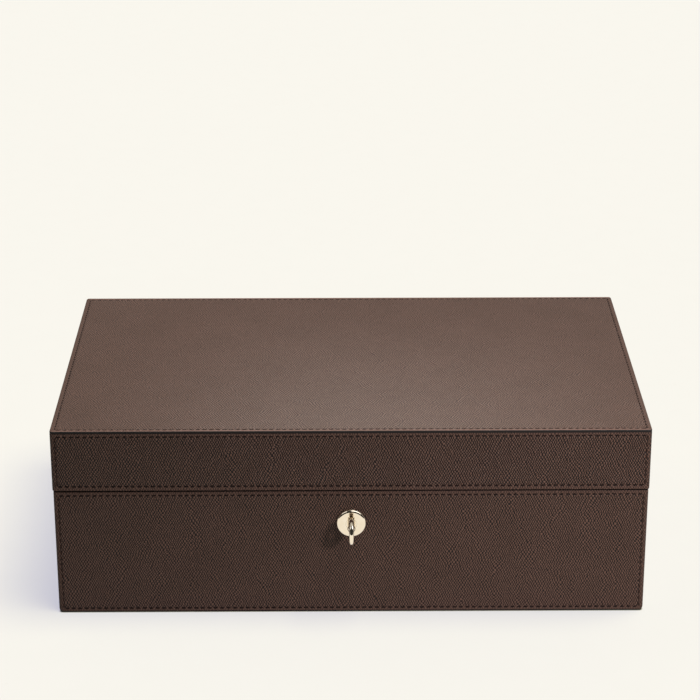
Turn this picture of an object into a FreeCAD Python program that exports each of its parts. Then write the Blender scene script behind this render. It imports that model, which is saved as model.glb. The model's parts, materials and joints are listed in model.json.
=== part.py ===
"""Leather-covered jewellery case with a hinged lid, a keyed box lock and a lift-out tray.

Frame: millimetres, +Z up, +X to the right, +Y to the back. The origin is the centre of the
underside, on the surface the case stands on. The case is shown shut, unlocked, with its key in.
"""

import FreeCAD
import Part

import math
import os

V = FreeCAD.Vector

# ----------------------------------------------------------------------------- driving dimensions
LID_W, LID_D, CASE_H = 300.0, 190.0, 101.0  # outside of the lid, and overall height
OVERHANG = 0.35  # lid leather stands this far outside the base leather on each side
BASE_W, BASE_D = LID_W - 2 * OVERHANG, LID_D - 2 * OVERHANG
PART_Z = 68.2  # height of the parting line
GAP = 0.6  # gap between the two rims when shut
BASE_TOP, LID_BOT = PART_Z - GAP / 2, PART_Z + GAP / 2

LEATHER = 1.2  # cover leather
BOARD = 10.0  # side boards
TOP_BOARD = 7.0
FLOOR_BOARD = 6.0
LINING = 1.5  # suede on card
RIM = 1.2  # rim leather, as thick as a hinge leaf
PAD_Z = 1.2  # underside felt
SKIRT_Z = 0.15  # lower edge of the base leather above the table
CORNER_R = 1.5  # vertical outer corners of the leather
EDGE_R = 1.0
FOOT_R = 1.9  # lower edges of the base's two ends
RIM_R = 0.7

HINGE_X = 88.0  # hinge centres, left and right
LEAF_L, LEAF_T = 40.0, RIM
KNUCKLE_R, PIN_R = 2.2, 1.0
RUN_CLEAR = 0.05
HINGE_Y = LID_D / 2 + KNUCKLE_R + 0.2
HINGE_Z = PART_Z
MID_L = 16.0  # the lid leaf's middle knuckle
STOP_DEG = 95.5  # angle between the two stop lips

LOCK_X, LOCK_Z = 0.13, 50.4  # lock axis on the front
FLANGE_R, FLANGE_T = 7.55, 1.9  # round escutcheon
BARREL_R = 4.5
PLUG_R = 2.8
PIN_ARM, DRIVE_R = 3.5, 1.0  # eccentric drive pin of the plug
BOLT_TRAVEL = 2 * PIN_ARM * math.sin(math.radians(45))
PRONG_X = 9.0  # staples of the link plate, either side of the lock axis

BOW_R, BOW_T, BOW_HOLE_R = 6.7, 2.4, 2.5  # key bow
BOW_OUT = 9.25  # bow centre in front of the escutcheon face
STEM_R = 2.05

TRAY_CLEAR = 0.7
TRAY_Z, TRAY_TOP = 38.2, 63.5
TRAY_WALL = 4.0
TRAY_BOARD = 3.0
DIV_T = 3.0
ROLLS = 9

OUT = "parts"
os.makedirs(OUT, exist_ok=True)
made = {}


def box(x0, x1, y0, y1, z0, z1):
    return Part.makeBox(x1 - x0, y1 - y0, z1 - z0, V(x0, y0, z0))


def cyl(r, p, d, h):
    return Part.makeCylinder(r, h, V(*p), V(*d))


def keep(name, shape):
    """Writes a node: one solid, or a group of separate solids."""
    solids = shape.Solids
    out = solids[0] if len(solids) == 1 else Part.makeCompound(solids)
    assert solids and all(s.isValid() and s.Volume > 0 for s in solids), name
    out.exportStep(os.path.join(OUT, name + ".step"))
    made[name] = out
    return out


def near(a, b, tol=1e-4):
    return abs(a - b) < tol


def edges_where(shape, test):
    return [e for e in shape.Edges if test(e)]


def flat_at(e, z):
    b = e.BoundBox
    return near(b.ZMin, z, 1e-3) and near(b.ZMax, z, 1e-3)


def upright(e):
    b = e.BoundBox
    return b.XLength < 1e-3 and b.YLength < 1e-3 and b.ZLength > 1


def cover_block(w, d, z0, z1, r_low, r_high):
    """Outside of a leather cover: rounded upright corners, and rounded lower and upper edges."""
    b = box(-w / 2, w / 2, -d / 2, d / 2, z0, z1)
    b = b.makeFillet(CORNER_R, edges_where(b, upright))
    if r_low:
        b = b.makeFillet(r_low, edges_where(b, lambda e: flat_at(e, z0)))
    if r_high:
        b = b.makeFillet(r_high, edges_where(b, lambda e: flat_at(e, z1)))
    return b


def mitre_wedge(side, w, d, z0, z1, deep=40.0, out=6.0):
    """Prism that holds one side of a w by d frame, cut at 45 degrees at its two corners."""
    x, y = w / 2 + out, d / 2 + out
    k = deep
    pts = {
        "front": [(-x, -y), (x, -y), (x - k, -y + k), (-x + k, -y + k)],
        "back": [(-x, y), (x, y), (x - k, y - k), (-x + k, y - k)],
        "left": [(-x, -y), (-x, y), (-x + k, y - k), (-x + k, -y + k)],
        "right": [(x, -y), (x, y), (x - k, y - k), (x - k, -y + k)],
    }[side]
    wire = Part.makePolygon([V(a, b, z0) for a, b in pts + pts[:1]])
    return Part.Face(wire).extrude(V(0, 0, z1 - z0))


SIDES = ("front", "back", "left", "right")


def frame_panels(ring, w, d, z0, z1):
    return {s: ring.common(mitre_wedge(s, w, d, z0 - 1, z1 + 1)) for s in SIDES}


def screw(p, up, head_r=1.9, shank_r=0.9, length=9.0, grow=0.0):
    """Countersunk wood screw with its head's top at p; up is +1 if it is driven from above. grow makes its hole."""
    z, s = p[2], -up
    a, b = head_r + grow, shank_r + grow
    zz = lambda t: z + s * t
    pts = [
        (0, zz(-grow)), (a, zz(-grow)), (a, zz(0.15)), (b, zz(1.15)),
        (b, zz(length - 1.2)), (0 if not grow else b * 0.2, zz(length + grow)), (0, zz(length + grow)),
    ]
    uniq = [pts[0]]
    for q in pts[1:]:
        if math.dist(q, uniq[-1]) > 1e-6:
            uniq.append(q)
    wire = Part.makePolygon([V(p[0] + r, p[1], h) for r, h in uniq + uniq[:1]])
    solid = Part.Face(wire).revolve(V(p[0], p[1], 0), V(0, 0, 1), 360)
    if solid.Volume < 0:
        solid.reverse()
    if not grow:
        solid = solid.cut(box(p[0] - head_r - 1, p[0] + head_r + 1, p[1] - 0.28, p[1] + 0.28, min(z, zz(0.55)), max(z, zz(0.55))))
    return solid


def group(shapes):
    return Part.makeCompound([s for c in shapes for s in c.Solids])


# ----------------------------------------------------------------------------- hinges
SCREW_Y = HINGE_Y - 8.3
base_screw_at = [(s * HINGE_X + o, SCREW_Y, BASE_TOP - 0.05) for s in (-1, 1) for o in (-14.0, 0.0, 14.0)]
lid_screw_at = [(s * HINGE_X + o, SCREW_Y, LID_BOT + 0.05) for s in (-1, 1) for o in (-14.0, 0.0, 14.0)]
base_screws = group([screw(p, 1) for p in base_screw_at])
lid_screws = group([screw(p, -1) for p in lid_screw_at])
base_screw_holes = group([screw(p, 1, grow=0.03) for p in base_screw_at])
lid_screw_holes = group([screw(p, -1, grow=0.03) for p in lid_screw_at])
LEAF_Y0 = HINGE_Y - 12.9


def sector(x0, x1, r0, r1, a0, a1):
    """Annular sector about the hinge axis, from angle a0 to a1 (degrees from +Y towards +Z)."""
    wire = Part.makePolygon([V(x0, HINGE_Y + r0, HINGE_Z), V(x1, HINGE_Y + r0, HINGE_Z), V(x1, HINGE_Y + r1, HINGE_Z), V(x0, HINGE_Y + r1, HINGE_Z), V(x0, HINGE_Y + r0, HINGE_Z)])
    f = Part.Face(wire)
    f.rotate(V(0, HINGE_Y, HINGE_Z), V(1, 0, 0), a0)
    s = f.revolve(V(0, HINGE_Y, HINGE_Z), V(1, 0, 0), a1 - a0)
    if s.Volume < 0:
        s.reverse()
    return s


def base_leaf(cx):
    x0, x1, m0, m1 = cx - LEAF_L / 2, cx + LEAF_L / 2, cx - MID_L / 2 - 0.2, cx + MID_L / 2 + 0.2
    plate = box(x0, x1, LEAF_Y0, HINGE_Y, BASE_TOP - LEAF_T, BASE_TOP)
    plate = plate.cut(box(m0, m1, HINGE_Y - KNUCKLE_R - 0.3, HINGE_Y + 1, 60, 75))
    k1 = cyl(KNUCKLE_R, (x0, HINGE_Y, HINGE_Z), (1, 0, 0), m0 - x0)
    k2 = cyl(KNUCKLE_R, (m1, HINGE_Y, HINGE_Z), (1, 0, 0), x1 - m1)
    lip = sector(x0, x1, KNUCKLE_R + 0.3, 5.0, -62, -45)
    l1 = sector(x0, m0, 1.6, 5.0, -62, -45)
    l2 = sector(m1, x1, 1.6, 5.0, -62, -45)
    s = plate.fuse([k1, k2, l1, l2, lip]).removeSplitter()
    return s.cut(cyl(PIN_R, (x0 - 1, HINGE_Y, HINGE_Z), (1, 0, 0), LEAF_L + 2)).cut(base_screw_holes)


def lid_leaf(cx):
    x0, x1, m0, m1 = cx - LEAF_L / 2, cx + LEAF_L / 2, cx - MID_L / 2, cx + MID_L / 2
    plate = box(x0, x1, LEAF_Y0, HINGE_Y, LID_BOT, LID_BOT + LEAF_T)
    for a, b in ((x0 - 1, m0), (m1, x1 + 1)):
        plate = plate.cut(box(a, b, HINGE_Y - KNUCKLE_R - 0.3, HINGE_Y + 1, 60, 75))
    k = cyl(KNUCKLE_R, (m0, HINGE_Y, HINGE_Z), (1, 0, 0), MID_L)
    lip = sector(m0, m1, 1.6, 5.0, -45 + STOP_DEG, -45 + STOP_DEG + 17)
    s = plate.fuse([k, lip]).removeSplitter()
    return s.cut(cyl(PIN_R + RUN_CLEAR, (x0 - 1, HINGE_Y, HINGE_Z), (1, 0, 0), LEAF_L + 2)).cut(lid_screw_holes)


for name, cx in (("left", -HINGE_X), ("right", HINGE_X)):
    keep(f"hinge_{name}_base_leaf", base_leaf(cx))
    keep(f"hinge_{name}_lid_leaf", lid_leaf(cx))
keep("hinge_pins", group([cyl(PIN_R, (s * HINGE_X - LEAF_L / 2, HINGE_Y, HINGE_Z), (1, 0, 0), LEAF_L) for s in (-1, 1)]))
keep("hinge_base_screws", base_screws)
keep("hinge_lid_screws", lid_screws)
leaf_seat_base = group([box(s * HINGE_X - LEAF_L / 2 - 0.1, s * HINGE_X + LEAF_L / 2 + 0.1, LEAF_Y0 - 0.1, 110, BASE_TOP - LEAF_T, BASE_TOP + 1) for s in (-1, 1)])
leaf_seat_lid = group([box(s * HINGE_X - LEAF_L / 2 - 0.1, s * HINGE_X + LEAF_L / 2 + 0.1, LEAF_Y0 - 0.1, 110, LID_BOT - 1, LID_BOT + LEAF_T) for s in (-1, 1)])

# ----------------------------------------------------------------------------- lock
FRONT = -BASE_D / 2  # outer face of the base's front leather
BF = FRONT + LEATHER  # outer face of the front board
FACE_Y = FRONT - FLANGE_T  # escutcheon face
LY = FRONT + 6.15  # middle plane of the lock
CASE_Y0, CASE_Y1, SHEET = LY - 3.5, LY + 3.5, 0.8
CASE_X0, CASE_X1, CASE_Z0 = LOCK_X - 19.0, LOCK_X + 19.0, LOCK_Z - 9.0
SEAT_Z = BASE_TOP - RIM
PLATE = (LOCK_X - 25.0, LOCK_X + 25.0, LY - 4.2, LY + 4.2)

lock_screw_at = [(LOCK_X + o, LY, BASE_TOP - 0.05) for o in (-21.5, 21.5)]
link_screw_at = [(LOCK_X + o, LY, LID_BOT + 0.05) for o in (-21.5, 21.5)]
lock_screws = group([screw(p, 1) for p in lock_screw_at])
link_screws = group([screw(p, -1) for p in link_screw_at])
lock_screw_holes = group([screw(p, 1, grow=0.03) for p in lock_screw_at])
link_screw_holes = group([screw(p, -1, grow=0.03) for p in link_screw_at])

# case: a folded box, open at its back and its top
case = box(CASE_X0, CASE_X1, CASE_Y0, CASE_Y1 - SHEET, CASE_Z0, SEAT_Z)
case = case.cut(box(CASE_X0 + SHEET, CASE_X1 - SHEET, CASE_Y0 + SHEET, CASE_Y1, CASE_Z0 + SHEET, SEAT_Z + 1))
case = case.cut(cyl(BARREL_R + 0.02, (LOCK_X, CASE_Y0 - 1, LOCK_Z), (0, 1, 0), 3))
keep("lock_case", case)

# cap: back plate with the rails that guide the bolt, and a block between its fingers that ends its travel both ways
BOLT_Y0, BOLT_Y1 = LY - 1.1, LY + 0.9
BACKBONE = (LOCK_Z - 0.2, LOCK_Z + 5.6)
TIP = (LOCK_Z + 8.4, LOCK_Z + 12.4)
PRONG_Z = LOCK_Z + 6.4
cap = box(CASE_X0, CASE_X1, CASE_Y1 - SHEET, CASE_Y1, CASE_Z0, SEAT_Z)
rail = box(LOCK_X - 18.0, LOCK_X + 18.0, BOLT_Y0, CASE_Y1 - SHEET, BACKBONE[0] - 1.4, BACKBONE[0] - 0.15)
lugs = [box(LOCK_X + a, LOCK_X + b, BOLT_Y0, CASE_Y1 - SHEET, TIP[1] + 0.15, TIP[1] + 1.4) for a, b in ((-16.0, -11.4), (2.0, 6.6))]
stop = box(LOCK_X - PRONG_X - 1.5 + BOLT_TRAVEL, LOCK_X + PRONG_X - 8.7, BOLT_Y0, CASE_Y1 - SHEET, *TIP)
keep("lock_cap", cap.fuse([rail, stop] + lugs).removeSplitter())

# selvedge: the plate in the base's rim, with a slot for each staple
selvedge = box(*PLATE, SEAT_Z, BASE_TOP)
selvedge = selvedge.makeFillet(1.5, edges_where(selvedge, lambda e: e.BoundBox.XLength < 1e-3 and e.BoundBox.YLength < 1e-3))
for s in (-1, 1):
    selvedge = selvedge.cut(box(LOCK_X + s * PRONG_X - 1.6, LOCK_X + s * PRONG_X + 1.6, LY - 3.4, LY + 2.4, 60, 70))
keep("lock_selvedge", selvedge.cut(lock_screw_holes))
keep("lock_selvedge_screws", lock_screws)

# barrel: the round escutcheon and the tube the plug turns in
flange = cyl(FLANGE_R, (LOCK_X, FACE_Y, LOCK_Z), (0, 1, 0), FLANGE_T)
flange = flange.makeFillet(1.5, edges_where(flange, lambda e: near(e.BoundBox.YMin, FACE_Y, 1e-3) and near(e.BoundBox.YMax, FACE_Y, 1e-3)))
barrel = flange.fuse(cyl(BARREL_R, (LOCK_X, FRONT, LOCK_Z), (0, 1, 0), CASE_Y0 + SHEET - FRONT)).removeSplitter()
barrel = barrel.cut(cyl(PLUG_R + RUN_CLEAR, (LOCK_X, FACE_Y - 1, LOCK_Z), (0, 1, 0), 20))
keep("lock_barrel", barrel)

# plug: turns with the key, and drives the bolt with an eccentric pin
TAIL_Y0, TAIL_Y1 = CASE_Y0 + SHEET + 0.1, BOLT_Y0 - 0.3
a = math.radians(-45)
pin_x, pin_z = LOCK_X + PIN_ARM * math.sin(a), LOCK_Z + PIN_ARM * math.cos(a)
plug = cyl(PLUG_R, (LOCK_X, FACE_Y, LOCK_Z), (0, 1, 0), TAIL_Y1 - FACE_Y)
plug = plug.fuse([cyl(5.0, (LOCK_X, TAIL_Y0, LOCK_Z), (0, 1, 0), TAIL_Y1 - TAIL_Y0), cyl(DRIVE_R, (pin_x, TAIL_Y1 - 0.2, pin_z), (0, 1, 0), BOLT_Y1 + 0.4 - TAIL_Y1 + 0.2)]).removeSplitter()
KEYWAY_Y1 = TAIL_Y0 + 0.4
plug = plug.cut(box(LOCK_X - 0.7, LOCK_X + 0.7, FACE_Y - 1, KEYWAY_Y1, LOCK_Z - 2.3, LOCK_Z + 2.3))
keep("lock_plug", plug)

# bolt: backbone with two fingers that slide through the staples
bz0, bz1 = BACKBONE
bolt = box(LOCK_X - PRONG_X - 8.6, LOCK_X + PRONG_X - 6.4, BOLT_Y0, BOLT_Y1, bz0, bz1)
for s in (-1, 1):
    px = LOCK_X + s * PRONG_X
    bolt = bolt.fuse(box(px - 8.6, px - 6.4, BOLT_Y0, BOLT_Y1, bz1 - 1, TIP[1]))
    bolt = bolt.fuse(box(px - 8.6, px - 1.6, BOLT_Y0, BOLT_Y1, *TIP))
bolt = bolt.removeSplitter()
bolt = bolt.cut(box(pin_x - DRIVE_R - 0.25, pin_x + DRIVE_R + 0.25, BOLT_Y0 - 1, BOLT_Y1 + 1, LOCK_Z + 1.1, LOCK_Z + 4.9))
keep("lock_bolt", bolt)

# link plate: sits in the lid's rim, its two staples drop into the selvedge
link = box(*PLATE, LID_BOT, LID_BOT + RIM)
link = link.makeFillet(1.5, edges_where(link, lambda e: e.BoundBox.XLength < 1e-3 and e.BoundBox.YLength < 1e-3))
for s in (-1, 1):
    px = LOCK_X + s * PRONG_X
    prong = box(px - 1.0, px + 1.0, LY - 2.0, LY + 2.0, PRONG_Z, LID_BOT + RIM)
    prong = prong.makeFillet(0.8, edges_where(prong, lambda e: near(e.BoundBox.ZMin, PRONG_Z) and near(e.BoundBox.ZMax, PRONG_Z) and e.BoundBox.XLength > 1))
    prong = prong.cut(box(px - 2, px + 2, LY - 1.3, LY + 1.3, TIP[0] - 0.2, TIP[1] + 0.2))
    link = link.fuse(prong)
keep("lock_link_plate", link.removeSplitter().cut(link_screw_holes))
keep("lock_link_screws", link_screws)

# key: flat blade in the plug, round stem with a domed end, ring bow
bow_y = FACE_Y - BOW_OUT
bow = cyl(BOW_R, (LOCK_X - BOW_T / 2, bow_y, LOCK_Z), (1, 0, 0), BOW_T)
stem_y = bow_y + BOW_HOLE_R - 0.2
stem = cyl(STEM_R, (LOCK_X, stem_y, LOCK_Z), (0, 1, 0), FACE_Y - 0.1 - stem_y)
stem = stem.makeFillet(1.9, edges_where(stem, lambda e: near(e.BoundBox.YMin, stem_y, 1e-3) and near(e.BoundBox.YMax, stem_y, 1e-3)))
blade = box(LOCK_X - 0.6, LOCK_X + 0.6, FACE_Y - 1.0, KEYWAY_Y1 - 0.3, LOCK_Z - 2.2, LOCK_Z + 2.2)
for i, dpt in enumerate((0.9, 0.5, 1.1)):
    y0 = FACE_Y + 1.1 + 1.4 * i
    blade = blade.cut(box(LOCK_X - 2, LOCK_X + 2, y0, y0 + 0.8, LOCK_Z - 3, LOCK_Z - 2.2 + dpt))
bow = bow.makeFillet(1.0, edges_where(bow, lambda e: e.Length > 10))
bow = bow.cut(cyl(BOW_HOLE_R, (LOCK_X - 5, bow_y - 0.9, LOCK_Z), (1, 0, 0), 10))
key = bow.fuse([stem, blade]).removeSplitter()
keep("key", key)

lock_seat_base = box(PLATE[0] - 0.1, PLATE[1] + 0.1, PLATE[2] - 0.1, PLATE[3] + 0.1, SEAT_Z, BASE_TOP + 1)
lock_seat_lid = box(PLATE[0] - 0.1, PLATE[1] + 0.1, PLATE[2] - 0.1, PLATE[3] + 0.1, LID_BOT - 1, LID_BOT + RIM)
mortise = box(CASE_X0 - 0.1, CASE_X1 + 0.1, CASE_Y0 - 0.1, CASE_Y1 + 0.1, CASE_Z0 - 0.1, SEAT_Z + 1)
barrel_hole = cyl(BARREL_R + 0.02, (LOCK_X, FRONT - 5, LOCK_Z), (0, 1, 0), 8)

# ----------------------------------------------------------------------------- base
bw, bd = BASE_W - 2 * LEATHER, BASE_D - 2 * LEATHER  # outside of the boards
iw, idp = bw - 2 * BOARD, bd - 2 * BOARD  # inside of the boards
wall_z0, wall_z1 = PAD_Z, SEAT_Z
REB = 4.0  # rebate that takes the ends of the side boards

front = box(-bw / 2, bw / 2, -bd / 2, -idp / 2, wall_z0, wall_z1)
back = box(-bw / 2, bw / 2, idp / 2, bd / 2, wall_z0, wall_z1)
for s in (-1, 1):
    xa, xb = sorted((s * iw / 2, s * (bw / 2 + 1)))
    front = front.cut(box(xa, xb, -idp / 2 - REB, -idp / 2 + 1, wall_z0 - 1, wall_z1 + 1))
    back = back.cut(box(xa, xb, idp / 2 - 1, idp / 2 + REB, wall_z0 - 1, wall_z1 + 1))
keep("base_front_board", front.cut(mortise).cut(barrel_hole).cut(lock_screw_holes))
keep("base_back_board", back.cut(base_screw_holes))
keep("base_left_board", box(-bw / 2, -iw / 2, -idp / 2 - REB, idp / 2 + REB, wall_z0, wall_z1))
keep("base_right_board", box(iw / 2, bw / 2, -idp / 2 - REB, idp / 2 + REB, wall_z0, wall_z1))
keep("base_floor_board", box(-iw / 2, iw / 2, -idp / 2, idp / 2, PAD_Z, PAD_Z + FLOOR_BOARD))

felt = box(-BASE_W / 2 + 3, BASE_W / 2 - 3, -BASE_D / 2 + 3, BASE_D / 2 - 3, 0, PAD_Z)
keep("base_underside_pad", felt.makeFillet(3.0, edges_where(felt, lambda e: e.BoundBox.XLength < 1e-3 and e.BoundBox.YLength < 1e-3)))

ring = cover_block(BASE_W, BASE_D, SKIRT_Z, BASE_TOP, EDGE_R, RIM_R).cut(box(-bw / 2, bw / 2, -bd / 2, bd / 2, SKIRT_Z - 1, BASE_TOP + 1))
foot = box(-BASE_W / 2, BASE_W / 2, -BASE_D / 2 - 1, BASE_D / 2 + 1, SKIRT_Z, BASE_TOP)
foot = foot.makeFillet(FOOT_R, edges_where(foot, lambda e: flat_at(e, SKIRT_Z) and e.BoundBox.XLength < 1e-3))
ring = ring.common(foot)
panels = frame_panels(ring, BASE_W, BASE_D, SKIRT_Z, BASE_TOP)
panels["front"] = panels["front"].cut(barrel_hole)
panels["back"] = panels["back"].cut(leaf_seat_base)
for s in SIDES:
    keep(f"base_leather_{s}", panels[s])

cw, cd = iw - 2 * LINING, idp - 2 * LINING  # clear inside
rim = box(-bw / 2, bw / 2, -bd / 2, bd / 2, SEAT_Z, BASE_TOP).cut(box(-cw / 2, cw / 2, -cd / 2, cd / 2, SEAT_Z - 1, BASE_TOP + 1))
rim = frame_panels(rim.cut(lock_seat_base).cut(leaf_seat_base), bw, bd, SEAT_Z, BASE_TOP)
keep("base_rim_leather", group(rim.values()))

floor_z = PAD_Z + FLOOR_BOARD
lin_z0 = floor_z + 2.0
keep("base_floor_lining", box(-iw / 2, iw / 2, -idp / 2, idp / 2, floor_z, lin_z0))
keep("base_lining_front", box(-iw / 2, iw / 2, -idp / 2, -cd / 2, lin_z0, wall_z1))
keep("base_lining_back", box(-iw / 2, iw / 2, cd / 2, idp / 2, lin_z0, wall_z1))
keep("base_lining_left", box(-iw / 2, -cw / 2, -cd / 2, cd / 2, lin_z0, wall_z1))
keep("base_lining_right", box(cw / 2, iw / 2, -cd / 2, cd / 2, lin_z0, wall_z1))
LEDGE_TOP = TRAY_Z - 0.2
keep("tray_ledges", group([box(-cw / 2, -cw / 2 + 4, -cd / 2, cd / 2, LEDGE_TOP - 8, LEDGE_TOP), box(cw / 2 - 4, cw / 2, -cd / 2, cd / 2, LEDGE_TOP - 8, LEDGE_TOP)]))
keep("base_dividers", group([box(x - DIV_T / 2, x + DIV_T / 2, -cd / 2, cd / 2, lin_z0, LEDGE_TOP - 2) for x in (-46.0, 46.0)]))

# ----------------------------------------------------------------------------- lid
lw, ld = LID_W - 2 * LEATHER, LID_D - 2 * LEATHER
liw, lid_i = lw - 2 * BOARD, ld - 2 * BOARD
lz0, lz1 = LID_BOT + RIM, CASE_H - LEATHER - TOP_BOARD
front = box(-lw / 2, lw / 2, -ld / 2, -lid_i / 2, lz0, lz1)
back = box(-lw / 2, lw / 2, lid_i / 2, ld / 2, lz0, lz1)
for s in (-1, 1):
    xa, xb = sorted((s * liw / 2, s * (lw / 2 + 1)))
    front = front.cut(box(xa, xb, -lid_i / 2 - REB, -lid_i / 2 + 1, lz0 - 1, lz1 + 1))
    back = back.cut(box(xa, xb, lid_i / 2 - 1, lid_i / 2 + REB, lz0 - 1, lz1 + 1))
keep("lid_front_board", front.cut(link_screw_holes))
keep("lid_back_board", back.cut(lid_screw_holes))
keep("lid_left_board", box(-lw / 2, -liw / 2, -lid_i / 2 - REB, lid_i / 2 + REB, lz0, lz1))
keep("lid_right_board", box(liw / 2, lw / 2, -lid_i / 2 - REB, lid_i / 2 + REB, lz0, lz1))
keep("lid_top_board", box(-lw / 2, lw / 2, -ld / 2, ld / 2, lz1, lz1 + TOP_BOARD))

top = cover_block(LID_W, LID_D, CASE_H - LEATHER, CASE_H, 0, EDGE_R)
keep("lid_leather_top", top)
ring = cover_block(LID_W, LID_D, LID_BOT, CASE_H - LEATHER, RIM_R, 0).cut(box(-lw / 2, lw / 2, -ld / 2, ld / 2, LID_BOT - 1, CASE_H + 1))
panels = frame_panels(ring, LID_W, LID_D, LID_BOT, CASE_H)
panels["back"] = panels["back"].cut(leaf_seat_lid)
for s in SIDES:
    keep(f"lid_leather_{s}", panels[s])

lcw, lcd = liw - 2 * LINING, lid_i - 2 * LINING
rim = box(-lw / 2, lw / 2, -ld / 2, ld / 2, LID_BOT, lz0).cut(box(-lcw / 2, lcw / 2, -lcd / 2, lcd / 2, LID_BOT - 1, lz0 + 1))
rim = frame_panels(rim.cut(lock_seat_lid).cut(leaf_seat_lid), lw, ld, LID_BOT, lz0)
keep("lid_rim_leather", group(rim.values()))
keep("lid_lining_front", box(-liw / 2, liw / 2, -lid_i / 2, -lcd / 2, lz0, lz1))
keep("lid_lining_back", box(-liw / 2, liw / 2, lcd / 2, lid_i / 2, lz0, lz1))
keep("lid_lining_left", box(-liw / 2, -lcw / 2, -lcd / 2, lcd / 2, lz0, lz1))
keep("lid_lining_right", box(lcw / 2, liw / 2, -lcd / 2, lcd / 2, lz0, lz1))
PAD_T = 5.2
pad = box(-lcw / 2 + 0.4, lcw / 2 - 0.4, -lcd / 2 + 0.4, lcd / 2 - 0.4, lz1 - PAD_T, lz1)
pad = pad.makeFillet(2.5, edges_where(pad, lambda e: flat_at(e, lz1 - PAD_T)))
keep("lid_pad", pad)

# ----------------------------------------------------------------------------- tray
tw, td = cw - 2 * TRAY_CLEAR, cd - 2 * TRAY_CLEAR
tz0 = TRAY_Z + TRAY_BOARD
keep("tray_base_board", box(-tw / 2, tw / 2, -td / 2, td / 2, TRAY_Z, tz0))


def round_top(b, z):
    """A covered board whose long upper edges are rounded."""
    long_side = max(b.BoundBox.XLength, b.BoundBox.YLength)
    return b.makeFillet(1.2, edges_where(b, lambda e: flat_at(e, z) and e.Length > long_side - 1))


tiw, tid = tw - 2 * TRAY_WALL, td - 2 * TRAY_WALL
keep("tray_front_wall", round_top(box(-tw / 2, tw / 2, -td / 2, -tid / 2, tz0, TRAY_TOP), TRAY_TOP))
keep("tray_back_wall", round_top(box(-tw / 2, tw / 2, tid / 2, td / 2, tz0, TRAY_TOP), TRAY_TOP))
keep("tray_left_wall", round_top(box(-tw / 2, -tiw / 2, -tid / 2, tid / 2, tz0, TRAY_TOP), TRAY_TOP))
keep("tray_right_wall", round_top(box(tiw / 2, tw / 2, -tid / 2, tid / 2, tz0, TRAY_TOP), TRAY_TOP))
pad_z = tz0 + 1.5
keep("tray_floor_lining", box(-tiw / 2, tiw / 2, -tid / 2, tid / 2, tz0, pad_z))
DIV_TOP = TRAY_TOP - 2.0
RING_X1 = -44.5  # divider beside the ring rolls
DIV_Y = 16.0
CROSS = (15.5, 74.0)
divs = [box(RING_X1 - DIV_T / 2, RING_X1 + DIV_T / 2, -tid / 2, tid / 2, pad_z, DIV_TOP), box(RING_X1 + DIV_T / 2, tiw / 2, DIV_Y - DIV_T / 2, DIV_Y + DIV_T / 2, pad_z, DIV_TOP)]
divs += [box(x - DIV_T / 2, x + DIV_T / 2, -tid / 2, DIV_Y - DIV_T / 2, pad_z, DIV_TOP) for x in CROSS]
keep("tray_dividers", group([round_top(d, DIV_TOP) for d in divs]))

# ring rolls: foam rolls side by side, running across the bay
rx0, rx1 = -tiw / 2 + 0.4, RING_X1 - DIV_T / 2 - 0.4
pitch = tid / ROLLS
rolls = []
for i in range(ROLLS):
    y0 = -tid / 2 + i * pitch + 0.15
    y1 = y0 + pitch - 0.3
    r = (y1 - y0) / 2
    top_z = pad_z + 15.0
    wire = Part.Wire([
        Part.LineSegment(V(rx0, y0, pad_z), V(rx0, y0, top_z - r)).toShape(),
        Part.Arc(V(rx0, y0, top_z - r), V(rx0, (y0 + y1) / 2, top_z), V(rx0, y1, top_z - r)).toShape(),
        Part.LineSegment(V(rx0, y1, top_z - r), V(rx0, y1, pad_z)).toShape(),
        Part.LineSegment(V(rx0, y1, pad_z), V(rx0, y0, pad_z)).toShape(),
    ])
    rolls.append(Part.Face(wire).extrude(V(rx1 - rx0, 0, 0)))
keep("ring_rolls", group(rolls))

# pull tabs: leather tongues on the end walls of the tray
TAB_W, TAB_T, TAB_UP = 22.0, 1.4, 2.6
tabs = []
for s in (-1, 1):
    xa, xb = sorted((s * tiw / 2, s * (tiw / 2 - TAB_T)))
    t = box(xa, xb, -TAB_W / 2, TAB_W / 2, TRAY_TOP - 4.5, TRAY_TOP + TAB_UP)
    t = t.makeFillet(3.0, edges_where(t, lambda e: e.BoundBox.YLength < 1e-3 and e.BoundBox.ZLength < 1e-3 and near(e.BoundBox.ZMax, TRAY_TOP + TAB_UP)))
    tabs.append(t)
keep("tray_pull_tabs", group(tabs))

for n, s in sorted(made.items()):
    b = s.BoundBox
    print(f"{n:26s} solids {len(s.Solids):2d}  vol {s.Volume / 1000:9.3f} cm3  x {b.XMin:8.2f} {b.XMax:8.2f}  y {b.YMin:8.2f} {b.YMax:8.2f}  z {b.ZMin:7.2f} {b.ZMax:7.2f}")
print(len(made), "nodes; bolt travel", round(BOLT_TRAVEL, 4), "hinge axis y", HINGE_Y, "face y", FACE_Y)
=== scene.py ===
"""Looks of the leather jewellery case: cover leather, stitching, suede, gilt fittings, light and camera.

Lengths are written in millimetres and divided by 1000 where a mesh is made. The frame is the
part's own: +Z up, +X right, +Y back, origin at the centre of the underside.
"""

import json
import math
import random

import bmesh
import bpy
import numpy as np
from mathutils import Matrix, Vector


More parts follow.
